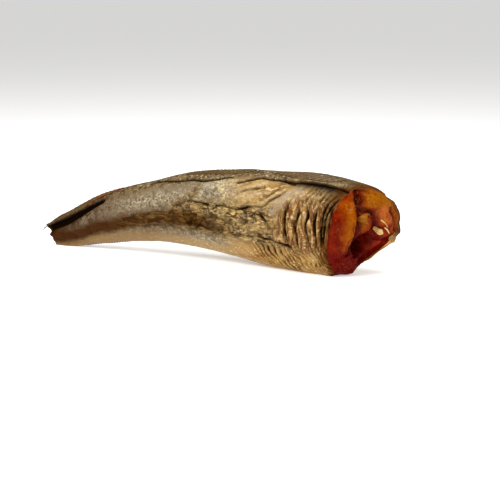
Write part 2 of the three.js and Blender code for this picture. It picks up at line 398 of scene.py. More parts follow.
# %% All of it together
def skin_relief(x, angle):
    """How far the skin stands out from the smooth one, in millimetres, and its colour masks: gentle waves, plus
    what each region adds."""
    points = plain_skin(x, angle)
    x, down = wandering(x, angle, points)
    left_side = step(np.cos(np.radians(angle)), 0.05, 0.3)
    regions = [
        tail_half(x, down), upper_flank(x, down), behind_head_cut(x, down, points),
        crumpled_middle(x, down, points), belly(x, down, left_side),
    ]
    wrinkled = belly_wrinkles(x, down, points)
    waves = 0.7 * noise(points, 38, 5) + 0.35 * noise(points, 14, 6) + 0.10 * noise(points, 3.5, 7)
    height = waves - 1.1 * wrinkled + sum(lift for lift, _, _ in regions)
    # Painted shade: what the regions darken, and the belly wrinkles, make the crease mask.
    dark = np.clip(sum(shade for _, shade, _ in regions), 0, 1)
    masks = {"crease": np.maximum(dark, 0.95 * wrinkled), "lip": np.zeros(x.shape), "rim": np.zeros(x.shape)}
    for _, _, zones in regions:
        masks.update(zones)
    return height, masks


# %% [markdown]
# ## The cut flesh
# The head was torn off at a slant. The cut shows the thick muscle of the near flank, the muscle above the
# backbone, the far flank's flap, and the dark, wet lining round the opening of the belly.

# %% Relief of the cut: [millimetres left of the section's centre, millimetres above it]
GROOVES = {  # line, width, depth, redness
    "beside_near_muscle": ([[-8, 30], [-9.2, 18], [-9.4, 8], [-9, -3], [-8.2, -14]], 1.5, 2.6, 1.1),
    "round_backbone": ([[-7.6, 17.2], [-4.8, 16.2], [-0.8, 14], [1.6, 9.5], [2.6, 4.4]], 2.2, 2.8, 1.1),
    "top_of_back": ([[-8, 31], [-3, 29]], 1.4, 1.0, 0.8),
    "far_flank": ([[11, 18], [14, 12], [18, 5], [22, 1]], 1.6, 3.0, 1.2),
    "far_flap": ([[5, -3], [12, -4], [20, -5]], 1.4, 1.8, 0.9),
    "edge_of_near_muscle": ([[-9.6, 24], [-10.8, 16], [-11.2, 6], [-10.6, -4]], 1.3, 0.8, 0.9),
    "in_near_muscle": ([[-21, 10], [-20, -4], [-16, -14]], 1.3, 1.5, 0.85),
    "low_in_near_muscle": ([[-14, -4], [-13, -12], [-11, -24]], 1.3, 1.2, 0.8),
}
MUSCLES = [  # centre, half sizes, how far it bulges
    ([-16, 6], [6.5, 24], 2.4),
    ([4, 24], [13, 9], 2.8),
    ([-5, 8], [4.5, 9], 2.4),
    ([10, 11], [6, 8], 1.4),
]
CORE = [[-15, 20], [-15.2, 12], [-15.8, 2], [-14, -8]]  # where the near muscle is amber right through
INSIDE_FLAP = [[5, -21], [12, -14], [16, -8], [18, -3]]  # the hollow behind the curled edge of the left flap
GOLDEN = [[-3, 27], [4, 25], [12, 22]]  # under the back, where the flesh is yellowest
FAR_AMBER = [[-3, 22], [8, 21], [16, 12], [20, 4]]
BESIDE_BACKBONE = [[-7.2, 14], [-6.6, 5]]


def flesh_relief(side, up, points):
    """How far the cut stands out from its smooth surface, and its colour masks: grooves between the muscles,
    a dome over each muscle, the rings that its layers leave, and the uneven lining of the belly."""
    side = side + 0.7 * noise(points, 6, 21)
    up = up + 0.7 * noise(points, 6, 22)
    height = 0.55 * noise(points, 5, 23) + 0.22 * noise(points, 2.2, 24)
    red = np.zeros(side.shape)
    for line, width, depth, redness in GROOVES.values():
        height -= depth * near_line(side, up, line, width)
        red = np.maximum(red, redness * near_line(side, up, line, width * 1.25))
    for (centre_side, centre_up), (half_side, half_up), bulge in MUSCLES:
        distance = ((side - centre_side) / half_side) ** 2 + ((up - centre_up) / half_up) ** 2
        height += bulge * np.clip(1 - distance**1.5, 0, 1)
    height -= 5.0 * near_line(side, up, INSIDE_FLAP, 4.5)
    height += 0.14 * np.cos(2 * np.pi * (np.hypot(side + 10, up - 4) / 2.6 + noise(points, 9, 25)))
    lining = step(-up, 6, 17)
    height += lining * (1.0 * noise(points, 3.2, 26) + 0.5 * noise(points, 1.7, 28))

    # Dark red of blood and painted shade at the bottoms of the two deepest grooves.
    crevice_blood_and_shade = np.maximum(near_line(side, up, GROOVES["beside_near_muscle"][0], 1.5),
                         near_line(side, up, GROOVES["round_backbone"][0], 1.5))
    pink = np.clip(1.4 - 1.4 * ((side - 6) / 8) ** 2 - 1.4 * ((up - 14) / 9) ** 2, 0, 1)
    amber = (near_line(side, up, CORE, 3.7) + 0.8 * near_line(side, up, FAR_AMBER, 5)
             + 0.8 * near_line(side, up, BESIDE_BACKBONE, 2.6))
    masks = {
        "red": np.clip(np.maximum(red, 0.9 * lining) + 0.3 * noise(points, 4, 27) * (1 - pink), 0, 1),
        "pink": pink,
        "crevice_blood_and_shade": 0.8 * crevice_blood_and_shade * (1 + 0.4 * noise(points, 4, 29)),
        "golden": np.clip(near_line(side, up, GOLDEN, 7), 0, 1),
        "amber": np.clip(amber, 0, 1),
    }
    return height, masks


# %% [markdown]
# ## One closed body out of rings
# On the real fish one surface runs from the torn tail end along the skin, over the edge of the head cut and
# back into the belly. The rings follow the same way, so the mesh is closed without joining or subtracting
# anything. Skin and cut are two formulas that would miss each other at the rim by a little, so that gap is
# worked out and faded away over the first rings of the cut.

# %% How fine the rings are, and what is painted on them
AROUND = 240
ALONG_SKIN = 300
ACROSS_TAIL = 8
ACROSS_FACE = 46
ALONG_CAVITY = 28
ANGLES = np.arange(AROUND) * 360 / AROUND
FLAP = within(ANGLES, 304, 352, 8)  # 1 where the edge of the left flap curls out over the head cut
LIP_RINGS = 10  # rings of the cut that the pale lip reaches at the curled edge
TORN_RINGS, EDGE_RINGS = 12, 3  # rings of skin before the rim that are browned: raggedly, and all round
# Crease and fold are painted shade, in the bottoms of folds and under the edge of the back. Rim is the browned
# edge. Band and rust are the sunken band and its reddish end. Gold, streak, crumple and shrunk cover the flank
# from the middle to the head cut. Grey, fleck and lip are pale. Painted shade darkens the lower edge of the
# tail half.
SKIN_MASKS = ["crease", "band", "fold", "back", "belly", "gold", "crumple", "streak", "tail", "fleck", "grey",
              "shrunk", "rust", "painted_underside_shade", "nape", "lip", "rim"]
FLESH_MASKS = ["red", "pink", "golden", "amber", "crevice_blood_and_shade", "cavity"]


# %% The skin's rings and the tail's torn end
def skin_to_rim():
    """Rings of skin, their masks, and the distances at which the last of them, the rim, lies. They follow the
    tail's slanting end at one end and the head cut at the other, blended by the share of the way."""
    share = np.linspace(0, 1, ALONG_SKIN + 1)[:, None] ** 0.85  # closer together towards the head
    rim = head_cut(*section(np.array(float(LENGTH)), ANGLES))
    x = share * LENGTH + rim * share**2 * (3 - 2 * share)
    angles = ANGLES + 0 * share
    rough = plain_skin(x, angles)
    x = x + (0.9 * noise(rough, 5, 31) + 5.5 * FLAP) * step(share, 0.96, 1)
    slant = -6 - 5.5 * np.sin(np.radians(ANGLES)) + 1.8 * noise(rough, 4, 32) + 1.0 * noise(rough, 1.8, 35)
    x = x + slant * (1 - share) ** 14
    height, masks = skin_relief(x, angles)
    height -= 1.0 * step(share, 0.985, 1)  # the skin draws in at its cut edge
    return plain_skin(x, angles) + height[..., None] * outward(x, angles), masks, x[-1]


def tail_end(first_ring):
    """Rings that shrink from the skin's first ring to its middle, over a torn surface."""
    inwards = np.linspace(0, 1, ACROSS_TAIL + 1)[:-1][::-1, None, None]
    end = first_ring * (1 - inwards) + first_ring.mean(0) * inwards
    end[..., 0] += (2.0 * noise(end, 3, 33) + 1.5) * np.minimum(inwards[..., 0] * 3, 1)
    return end[:-1]


# %% The head cut and the cavity behind it
def mouth(share):
    """Outline of the belly opening, left of and above the section's centre: an ellipse, drawn in to a share."""
    side = MOUTH["side"] + MOUTH["half_width"] * share * np.cos(np.radians(ANGLES))
    return side, MOUTH["up"] + MOUTH["half_height"] * share * np.sin(np.radians(ANGLES))


def across_cut(rim, rim_x):
    """Rings from the rim to the mouth of the cavity, and their masks. A place on them is the mean of a rim
    place and a mouth place, weighed by the share v of the way."""
    rim_side, rim_up = section(rim_x, ANGLES)
    gap = rim_x - LENGTH - head_cut(rim_side, rim_up)

    def surface(v, side, up):
        at = LENGTH + head_cut(side, up) + gap * (1 - v) ** (1 + 3 * FLAP)
        at = at - MOUTH["set_back"] * step(v, 0.55, 1)
        relief, masks = flesh_relief(side, up, place(at, side, up))
        relief = relief * (1 - 0.85 * FLAP * (1 - step(v, 0.15, 0.35)))
        return place(at + relief, side, up), masks

    v = np.linspace(0, 1, ACROSS_FACE + 1)[1:, None]
    mouth_side, mouth_up = mouth(1)
    face, masks = surface(v, rim_side * (1 - v) + mouth_side * v, rim_up * (1 - v) + mouth_up * v)
    at_rim, _ = surface(np.zeros((1, 1)), rim_side[None], rim_up[None])
    face += (rim - at_rim) * ((1 - v) ** 6)[..., None]
    shrunk_back = 1.1 * np.minimum(v / 0.04, 1) * (1 - step(v, 0.04, 0.3))  # flesh draws back as it dries
    face[..., 0] -= shrunk_back * (1 - FLAP)
    # Painted shade darkens the cut towards the mouth of the cavity.
    masks["cavity"] = 0.2 * step(v, 0.8, 1) + 0 * FLAP
    return face, masks


def cavity_wall(last_ring):
    """Rings back into the body, and how deep each lies from 0 to 1. They narrow like the end of an ellipse, by
    the square root of 1 less the depth's square, and three waves round them make the wall lobed."""
    s = np.linspace(0, 1, ALONG_CAVITY + 1)[1:, None]
    turn = np.radians(ANGLES)
    lobes = 0.10 * np.sin(3 * turn + 5 * s + 1) + 0.07 * np.sin(7 * turn - 9 * s)
    lobes = lobes + 0.05 * np.sin(11 * turn + 14 * s)
    side, up = mouth(np.sqrt(1 - 0.96 * s**2) * (1 + lobes * np.minimum(s * 8, 1) - 0.05))
    starts = LENGTH + head_cut(side, up) - MOUTH["set_back"]
    wall = place(starts * (1 - s) + (LENGTH - CAVITY_DEPTH) * s, side, up)
    side, up = mouth(1)
    smooth_ring = place(LENGTH + head_cut(side, up) - MOUTH["set_back"], side, up)
    wall += (last_ring - smooth_ring) * ((1 - s) ** 8)[..., None]
    wall[..., 1] += 0.6 * noise(wall, 6, 34) * np.minimum(s * 6, 1)
    return wall, s


# %% All the rings, with what is painted on them
def body_rings():
    """Every ring from the tail's end to the bottom of the cavity, the masks, and how many rings are skin."""
    skin, on_skin, rim_x = skin_to_rim()
    end = tail_end(skin[0])
    face, on_face = across_cut(skin[-1], rim_x)
    wall, depth = cavity_wall(face[-1])
    rings = np.concatenate([end, skin, face, wall])
    rings[..., 2] = np.maximum(rings[..., 2], 0)
    rim, beyond = len(end) + len(skin), np.zeros((len(face) + len(wall), AROUND))

    masks = {}
    for name in SKIN_MASKS:
        masks[name] = np.concatenate([np.repeat(on_skin[name][:1], len(end), 0), on_skin[name], beyond])
    ragged = np.clip(0.7 + 1.2 * noise(skin[-TORN_RINGS:-EDGE_RINGS], 3, 37), 0, 1)
    rising = np.linspace(0.2, 1, TORN_RINGS - EDGE_RINGS)[:, None]
    masks["rim"][rim - TORN_RINGS : rim - EDGE_RINGS] = ragged * rising
    masks["rim"][rim - EDGE_RINGS : rim + 2] = 1
    masks["rim"][: rim + LIP_RINGS] *= 1 - FLAP
    masks["lip"][rim - 2 : rim + LIP_RINGS] = FLAP
    masks["band"][:ACROSS_TAIL] = 0.9
    masks["crease"][:ACROSS_TAIL] *= 0.3

    inside = {name: np.repeat(on_face[name][-1:], len(wall), 0) for name in FLESH_MASKS}
    # Painted shade darkens the cavity's wall the deeper it lies.
    inside["cavity"] = np.minimum(inside["cavity"] + 1.8 * depth, 1)
    inside["red"] = np.clip(inside["red"] + 0.5 * noise(wall, 3, 36), 0.3, 1)
    for name in FLESH_MASKS:
        masks[name] = np.concatenate([np.zeros((rim, AROUND)), on_face[name], inside[name]])
    return rings, masks, rim


# %% [markdown]
# ## From rings to a mesh
# Every piece here is a closed tube of rings, so one function turns them all into meshes. Bridging the rings by
# hand or with a modifier would do too, but whole arrays of corner numbers are quick even for the body's many
# faces. The masks are written beside the points as attributes, where the materials can read them.

# %% Put rings into a mesh
def closed_mesh(name, rings, masks=None):
    """A closed tube: neighbouring rings are joined by squares, and each end ring is fanned to its middle."""
    count, around = rings.shape[:2]
    points = np.concatenate([rings.reshape(-1, 3), [rings[0].mean(0)], [rings[-1].mean(0)]])
    ring, i = np.meshgrid(np.arange(count - 1), np.arange(around), indexing="ij")
    a, b = ring * around + i, ring * around + (i + 1) % around
    squares = np.stack([a, b, b + around, a + around], -1).reshape(-1, 4)
    i = np.arange(around)
    first, last = len(points) - 2, len(points) - 1
    start = np.stack([(i + 1) % around, i, np.full(around, first)], -1)
    finish = np.stack([i, (i + 1) % around, np.full(around, last)], -1)
    finish[:, :2] += (count - 1) * around
    faces = squares.tolist() + start.tolist() + finish.tolist()
    mesh = bpy.data.meshes.new(name)
    mesh.from_pydata((points / 1000 + SHIFT).tolist(), [], faces)
    if signed_volume(mesh) < 0:
        mesh.flip_normals()
    mesh.polygons.foreach_set("use_smooth", [True] * len(mesh.polygons))
    for mask, values in (masks or {}).items():
        ends = [values[0].mean(), values[-1].mean()]
        attribute = mesh.attributes.new(mask, "FLOAT", "POINT")
        attribute.data.foreach_set("value", np.concatenate([values.ravel(), ends]).astype(np.float32))
    return mesh


def signed_volume(mesh):
    """Sum over triangles of the volume of the wedge from the origin to each: positive when faces look out."""
    mesh.calc_loop_triangles()
    corners = np.empty(len(mesh.loop_triangles) * 3, np.int32)
    mesh.loop_triangles.foreach_get("vertices", corners)
    points = np.empty(len(mesh.vertices) * 3, np.float32)
    mesh.vertices.foreach_get("co", points)
    a, b, c = np.moveaxis(points.reshape(-1, 3)[corners.reshape(-1, 3)], 1, 0)
    return float(np.einsum("ij,ij->", a, np.cross(b, c))) / 6


def put(name, data):
    """A new object in the scene for a mesh, a light or a camera."""
    made = bpy.data.objects.new(name, data)
    bpy.context.scene.collection.objects.link(made)
    return made


def piece(name, mesh, *materials):
    """An object for a finished mesh, at the origin, with its materials."""
    for material in materials:
        mesh.materials.append(material)
    made = put(name, mesh)
    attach(made, "root")
    return made


# %% [markdown]
# ## Into the shared frame
# The frame's box says where the smooth body lies, so the shift from the body's own coordinates to the frame's
# is worked out from it and added to every point. The objects themselves stay at the origin.

# %% Work out the shift
grid_x, grid_angle = np.meshgrid(np.linspace(0, 1, 101), np.arange(0, 360, 2), indexing="ij")
rim = head_cut(*section(np.array(float(LENGTH)), grid_angle))
cut_x = grid_x * LENGTH + rim * grid_x**2 * (3 - 2 * grid_x)
smooth_points = plain_skin(cut_x, grid_angle) / 1000
low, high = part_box("fish_body")
SHIFT = (np.array(low) + np.array(high) - smooth_points.min((0, 1)) - smooth_points.max((0, 1))) / 2
SHIFT[2] = 0
print("shift from the body's own coordinates to the frame, mm:", np.round(SHIFT * 1000, 2))

# %% [markdown]
# ## Materials
# Every colour is an sRGB hex value, and is turned to linear light once. Each finish is a pile of colours: every
# one is laid over those below it by an amount, which is a mask of the mesh, a noise texture, or both multiplied.

# %% Colour and node helpers
def linear(colour):
    """sRGB hex to linear RGBA: below 0.04045 a straight line, above it a power of 2.4."""
    values = [int(colour[i : i + 2], 16) / 255 for i in (1, 3, 5)]
    return [v / 12.92 if v <= 0.04045 else ((v + 0.055) / 1.055) ** 2.4 for v in values] + [1]


def add(tree, kind, settings=(), links=()):
    """Adds one node. Settings name its properties or input sockets, and links name the socket to feed each
    input from."""
    node = tree.nodes.new(kind)
    for name, value in dict(settings).items():
        if isinstance(name, str) and hasattr(node, name):
            setattr(node, name, value)
        else:
            node.inputs[name].default_value = value
    for name, source in dict(links).items():
        tree.links.new(source, node.inputs[name])
    return node


def new_material(name):
    """An empty material with its surface joined to its output."""
    material = bpy.data.materials.new(name)
    material.use_nodes = True
    tree = material.node_tree
    tree.nodes.clear()
    surface = add(tree, "ShaderNodeBsdfPrincipled")
    add(tree, "ShaderNodeOutputMaterial", links={"Surface": surface.outputs["BSDF"]})
    return material, tree, surface


def mask(tree, name):
    """An attribute of the mesh, read as a number."""
    return add(tree, "ShaderNodeAttribute", {"attribute_name": name}).outputs["Fac"]


def texture(tree, size_mm, detail=4, stretch=(1, 1, 1)):
    """Noise whose blotches are about that many millimetres across, stretched along the axes and swirled."""
    where = add(tree, "ShaderNodeTexCoord").outputs["Object"]
    scale = [1 / length for length in stretch]
    where = add(tree, "ShaderNodeMapping", {"Scale": scale}, {"Vector": where}).outputs["Vector"]
    settings = {"Scale": 1000 / size_mm, "Detail": detail, "Distortion": 0.8}
    return add(tree, "ShaderNodeTexNoise", settings, {"Vector": where}).outputs["Fac"]


def between(tree, source, low, high):
    """0 where the source is at low or less, 1 where it is at high or more, and straight between."""
    return add(tree, "ShaderNodeMapRange", {1: low, 2: high}, {0: source}).outputs[0]


def math_of(tree, operation, a, b):
    """Joins two sockets by an operation; b may be a plain number."""
    if isinstance(b, (int, float)):
        return add(tree, "ShaderNodeMath", {"operation": operation, 1: b}, {0: a}).outputs[0]
    return add(tree, "ShaderNodeMath", {"operation": operation}, {0: a, 1: b}).outputs[0]


MIX_A, MIX_B, MIX_OUT = 6, 7, 2  # the colour sockets of a Mix node


def blend(tree, amount, below, tone):
    """A colour laid over what is below it: the amount is a socket, and below is a socket or a hex colour."""
    if isinstance(below, str):
        settings, links = {MIX_A: linear(below), MIX_B: linear(tone)}, {0: amount}
    else:
        settings, links = {MIX_B: linear(tone)}, {0: amount, MIX_A: below}
    return add(tree, "ShaderNodeMix", {"data_type": "RGBA", **settings}, links).outputs[MIX_OUT]


def lay(tree, colour, tone, zones="", pattern=None, strength=1):
    """Lays a tone over the colour below it, by the product of the masks that zones names, of the pattern, which
    is (texture, low, high), and of the strength."""
    factors = [mask(tree, zone) for zone in zones.split()]
    if pattern:
        factors.append(between(tree, *pattern))
    if strength != 1:
        factors.append(strength)
    amount = factors[0]
    for factor in factors[1:]:
        amount = math_of(tree, "MULTIPLY", amount, factor)
    return blend(tree, amount, colour, tone)


def give_colour(tree, surface, colour, height, distance_mm, strength):
    """Joins the colour to the surface, and bumps it by a height of that many millimetres."""
    tree.links.new(colour, surface.inputs["Base Color"])
    settings = {"Strength": strength, "Distance": distance_mm / 1000}
    bump = add(tree, "ShaderNodeBump", settings, {"Height": height})
    tree.links.new(bump.outputs["Normal"], surface.inputs["Normal"])


def set_values(surface, **values):
    """Sets input sockets by name, with an underscore for each space."""
    for name, value in values.items():
        surface.inputs[name.replace("_", " ")].default_value = value


# %% [markdown]
# ### Skin
# Cold smoke turns the silver flank to gold, leaves the tail grey and the back brown. A single noise texture
# would look like marble. So patches, blotches, specks and fibres of their own sizes lie over each other, each
# only where its mask allows, and painted shade under the edge of the back and in the creases comes last.

# %% Cold-smoked skin: dried, oily, with fine scale pockets
def smoked_skin():
    """The skin's finish, from its plain mottling up to the creases."""
    material, tree, surface = new_material("cold_smoked_fish_skin")
    patches, blotches = texture(tree, 11), texture(tree, 3.4, 5)
    specks, grains = texture(tree, 1.5, 3), texture(tree, 1.8, 3, (2.4, 1, 1))
    painted_highlight_threads, fibres = texture(tree, 1.3, 3, (1, 1, 3)), texture(tree, 1.2, 3, (4, 1, 1))
    long_blotches, upright = texture(tree, 3.2, 5, (2.4, 1, 1)), texture(tree, 2.0, 4, (1, 1, 3.5))

    mottled = between(tree, blotches, 0.34, 0.66)
    colour = blend(tree, mottled, "#675a47", "#9b8d74")
    pale_grains = math_of(tree, "MULTIPLY", between(tree, grains, 0.52, 0.6), mottled)
    colour = blend(tree, pale_grains, colour, "#b3a78e")
    colour = lay(tree, colour, "#5a4b34", "", (specks, 0.54, 0.62))
    layers = [  # zones, pattern within them, colour, strength if not 1
        ("gold", None, "#9c7a42"),
        ("gold", (patches, 0.48, 0.62), "#79582a"),
        ("gold", (grains, 0.52, 0.64), "#c3a878"),
        ("streak", (blotches, 0.3, 0.6), "#ad966b"),
        ("streak", (fibres, 0.54, 0.62), "#8a6c40"),
        ("crumple", (patches, 0.2, 0.5), "#7c6640"),
        ("crumple", (fibres, 0.46, 0.62), "#9c8354"),
        ("crumple", (long_blotches, 0.46, 0.6), "#4b361a"),
        ("crumple", (specks, 0.56, 0.66), "#3c2a12"),
        ("crumple", (grains, 0.54, 0.66), "#c0a167"),
        ("shrunk", (upright, 0.44, 0.56), "#6f4216"),
        # painted highlights: pale threads along the wrinkles behind the head cut
        ("shrunk", (painted_highlight_threads, 0.54, 0.66), "#c4a877", 0.7),
        ("grey", (upright, 0.35, 0.55), "#8f8069"),
        ("back", None, "#6f5a3b"),
        ("back", (blotches, 0.46, 0.6), "#423219"),
        ("back", (specks, 0.58, 0.68), "#b8a478"),
        ("belly", None, "#9b7e4d"),
        ("belly gold", None, "#a07c3c"),
        ("belly gold", (patches, 0.46, 0.6), "#8a5f22"),
        ("belly", (specks, 0.56, 0.7), "#d8c193"),
        ("nape", (patches, 0.3, 0.6), "#54401f"),
        # painted shade along the lower edge of the tail half
        ("painted_underside_shade", None, "#7d6138", 0.75),
        ("tail", (blotches, 0.36, 0.54), "#4a3319"),
        ("band", None, "#4a300c"),
        ("band", (fibres, 0.46, 0.64), "#6b522f"),
        ("band", (long_blotches, 0.47, 0.6), "#39240b"),
        ("rust", (fibres, 0.3, 0.6), "#40220a"),
        ("fleck", (specks, 0.52, 0.62), "#d9c48f"),
        # painted shade under the edge of the back
        ("fold", None, "#2c2114"),
        ("rim", None, "#5e3716", 0.8),
        ("lip", None, "#d9b474"),
        ("lip", (specks, 0.5, 0.62), "#b98a45"),
        # painted shade at the bottoms of creases, wrinkles and slits
        ("crease", None, "#150a03"),
    ]
    for zones, pattern, tone, *strength in layers:
        colour = lay(tree, colour, tone, zones, pattern, *strength)
    give_colour(tree, surface, colour, math_of(tree, "ADD", specks, blotches), 0.5, 0.7)
    # Creases, folds, the band and the rim are dry and shaded at the bottom, so only the skin above them shines.
    dull = math_of(tree, "ADD", mask(tree, "crease"), mask(tree, "rim"))
    for name, amount in (("band", 0.7), ("fold", 0.6)):
        dull = math_of(tree, "ADD", dull, math_of(tree, "MULTIPLY", mask(tree, name), amount))
    shine = between(tree, dull, 0.85, 0)
    tree.links.new(math_of(tree, "MULTIPLY", shine, 0.2), surface.inputs["Specular IOR Level"])
    tree.links.new(math_of(tree, "MULTIPLY", shine, 0.12), surface.inputs["Coat Weight"])
    set_values(surface, Roughness=0.38, Coat_Roughness=0.2)
    return material


# %% [markdown]
# ### Cut flesh
# Salted and smoked raw, the flesh turns glassy: amber in the thick muscles, dark red where blood stayed and in
# the lining of the belly. Light goes a little way into it, so it gets some subsurface scattering, the red going
# furthest, and a thin wet coat. Fibres and painted glints are fine noise within the masks, and painted shade
# darkens the grooves and the cavity.

# %% Cut flesh: amber from the smoke, wet with oil, dark red where blood stayed
def smoked_flesh():
    """The flesh's finish: broad colours by mask first, and then fibres and glints."""
    material, tree, surface = new_material("cut_smoked_flesh")
    patches, fine, upright = texture(tree, 7, 5), texture(tree, 1.3), texture(tree, 2.4, 5, (1, 1, 2.5))
    colour = blend(tree, between(tree, patches, 0.38, 0.62), "#842400", "#681000")
    # Crevice is dark blood red and painted shade in the grooves; cavity is painted shade, near black deep
    # inside.
    tones = {"amber": "#935000", "golden": "#955d0c", "pink": "#a85e26", "red": "#5e0700", "crevice_blood_and_shade": "#2a0300",
             "cavity": "#160101"}
    for zone, tone in tones.items():
        colour = lay(tree, colour, tone, zone)
    layers = [  # zones, pattern within them, colour, strength
        ("", (upright, 0.44, 0.3), "#641400", 0.6),
        ("amber", (upright, 0.5, 0.68), "#a8680a", 0.5),
        ("", (fine, 0.46, 0.34), "#4c0c00", 0.22),
        ("amber", (fine, 0.54, 0.66), "#b8761a", 0.2),
        # painted highlights: pale glints on the wet red flesh
        ("red", (fine, 0.6, 0.7), "#b4552a", 0.55),
    ]
    for zones, pattern, tone, strength in layers:
        colour = lay(tree, colour, tone, zones, pattern, strength)
    give_colour(tree, surface, colour, fine, 0.7, 0.8)
    set_values(surface, Roughness=0.3, Coat_Weight=0.1, Coat_Roughness=0.04, Specular_IOR_Level=0.02)
    set_values(surface, Subsurface_Weight=0.2, Subsurface_Radius=(1.0, 0.2, 0.02), Subsurface_Scale=0.002)
    return material


# %% [markdown]
# ### Fin membrane and bone
# A dried fin is thin brown skin with darker rays under it, reddish near the tail where smoke reached both
# sides. Bone stays pale, but smoke and blood stain it, the cut backbone most. Both are plain enough for two
# or three layers.

# %% Dried fin membrane
def dried_fin():
    """The fins' finish: brown membrane, darker between the rays than on them."""
    material, tree, surface = new_material("dried_fin_membrane")
    fine, patches = texture(tree, 1.6), texture(tree, 9, 2)
    colour = lay(tree, "#33230f", "#5f4926", "ray")
    colour = lay(tree, colour, "#6a3008", "front", (patches, 0.38, 0.55))
    colour = lay(tree, colour, "#8a7145", "", (fine, 0.56, 0.68))
    give_colour(tree, surface, colour, fine, 0.3, 0.4)
    set_values(surface, Roughness=0.42, Coat_Weight=0.1, Coat_Roughness=0.25, Specular_IOR_Level=0.2)
    return material


# %% Smoke-stained bone
def stained_bone():
    """The bones' finish: pale, mottled and browned by the stain mask."""
    material, tree, surface = new_material("smoke_stained_bone")
    fine = texture(tree, 2)
    colour = lay(tree, "#dcc38a", "#b98538", "", (fine, 0.5, 0.65))
    colour = lay(tree, colour, "#86520a", "stain")
    give_colour(tree, surface, colour, fine, 0.2, 0.3)
    set_values(surface, Roughness=0.4, Coat_Weight=0.05, Specular_IOR_Level=0.1)
    return material


# %% Make the materials
SKIN, FLESH, FIN, BONE = smoked_skin(), smoked_flesh(), dried_fin(), stained_bone()
print("materials:", [material.name for material in (SKIN, FLESH, FIN, BONE)])

# %% [markdown]
# ## The body
# Skin and flesh are one mesh with two finishes, because they grew together. Each face gets its finish from
# the number of its ring: those up to the rim are skin, and at the curled edge of the left flap the skin
# reaches some rings further in.

# %% Build the body
rings, masks, skin_rings = body_rings()
body_mesh = closed_mesh("fish_body", rings, masks)
body = piece("gutted_body", body_mesh, SKIN, FLESH)
ring, column = np.divmod(np.arange((len(rings) - 1) * AROUND), AROUND)
lip_rings = 1 + 7 * FLAP[column]  # rings of the cut that the skin still covers
index = np.concatenate([ring >= skin_rings + lip_rings, np.zeros(AROUND), np.ones(AROUND)]).astype(np.int32)
body_mesh.polygons.foreach_set("material_index", index)
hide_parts("fish_body")
print("body:", sum(len(p.vertices) - 2 for p in body_mesh.polygons), "triangles,",
      round(signed_volume(body_mesh) * 1e6), "cm3")

# %% [markdown]
# ## Folded fins
# A dried fin is a thin membrane over stiff rays that lean towards the tail. It is a closed blade here, laid on
# the relief of the skin, with a ridge for each ray and a free edge that is notched between them. A flat card
# with a pattern would be quicker, but would float over the wrinkles. Membrane tears before the rays do, so
# a few bare ray tips stand out behind the last fin.

# %% Fins
FINS = {  # base and free edge, each [front, rear] as [distance, angle]; thickness; number of rays; square rear
    "first_dorsal_fin": ([[230, 99], [186, 97]], [[222, 121], [172, 105]], 0.8, 12, False),
    "second_dorsal_fin": ([[164, 97], [116, 96]], [[156, 117], [100, 106]], 0.7, 16, False),
    "third_dorsal_fin": ([[57, 97], [4, 90]], [[42, 122], [-10, 128]], 1.1, 14, True),
    "first_anal_fin": ([[123, 275], [78, 276]], [[115, 302], [62, 292]], 0.9, 18, False),
    "second_anal_fin": ([[60, 276], [24, 277]], [[52, 316], [12, 306]], 0.9, 16, False),
}


def fin(base, edge, thick, rays, square_rear):
    """A blade over u along its base and v towards its free edge: each side is the skin plus its relief plus a
    lift. The outer side rises over each ray by a power of the size of a cosine, and the edge is drawn in
    between the rays."""
    u = np.linspace(0, 1, rays * 8 + 1)[:, None]
    v = np.linspace(0, 1, 13)[None, :]
    ridge = np.abs(np.cos(np.pi * rays * u)) ** 0.7 + 0 * v
    ends = np.sin(np.pi * np.clip(u, 0.02, 0.5 if square_rear else 0.98)) ** 0.35
    reach = v * (1 - 0.10 * (1 - ridge)) * (0.1 + 0.9 * ends)
    corners = np.array([base, edge], float)
    front = corners[0, 0] * (1 - reach[..., None]) + corners[1, 0] * reach[..., None]
    rear = corners[0, 1] * (1 - reach[..., None]) + corners[1, 1] * reach[..., None]
    x, angle = np.moveaxis(front * (1 - u[..., None]) + rear * u[..., None], -1, 0)
    normal = outward(x, angle)
    ground = plain_skin(x, angle) + skin_relief(x, angle)[0][..., None] * normal
    thickness = thick * (1 - 0.7 * v) * (0.45 + 0.55 * ridge) * (0.3 + 0.7 * ends)
    outer = ground + (0.2 + thickness)[..., None] * normal
    inner = ground + 0.1 * normal
    blade = np.concatenate([outer, inner[:, ::-1]], 1)
    shade = np.concatenate([ridge, ridge[:, ::-1]], 1)
    return blade, {"ray": shade, "front": within(np.concatenate([x, x[:, ::-1]], 1), 30, 60, 12)}


def rod(path, radii, sides=12):
    """A tube along a path: at each point a circle square to the path's direction."""
    path, radii = np.array(path, float), np.array(radii, float)
    direction = np.gradient(path, axis=0)
    direction /= np.linalg.norm(direction, axis=1, keepdims=True)
    across = np.cross(direction, [0.3, 0.9, 0.2])
    across /= np.linalg.norm(across, axis=1, keepdims=True)
    over = np.cross(direction, across)
    turn = np.arange(sides) / sides * 2 * np.pi
    circle = across[:, None] * np.cos(turn)[:, None] + over[:, None] * np.sin(turn)[:, None]
    return path[:, None] + radii[:, None, None] * circle


RAY_ROOT = 14  # rows before the blade's rear end at which the bare ray tips start
RAY_COLUMNS = (4, 6, 8, 10, 12)


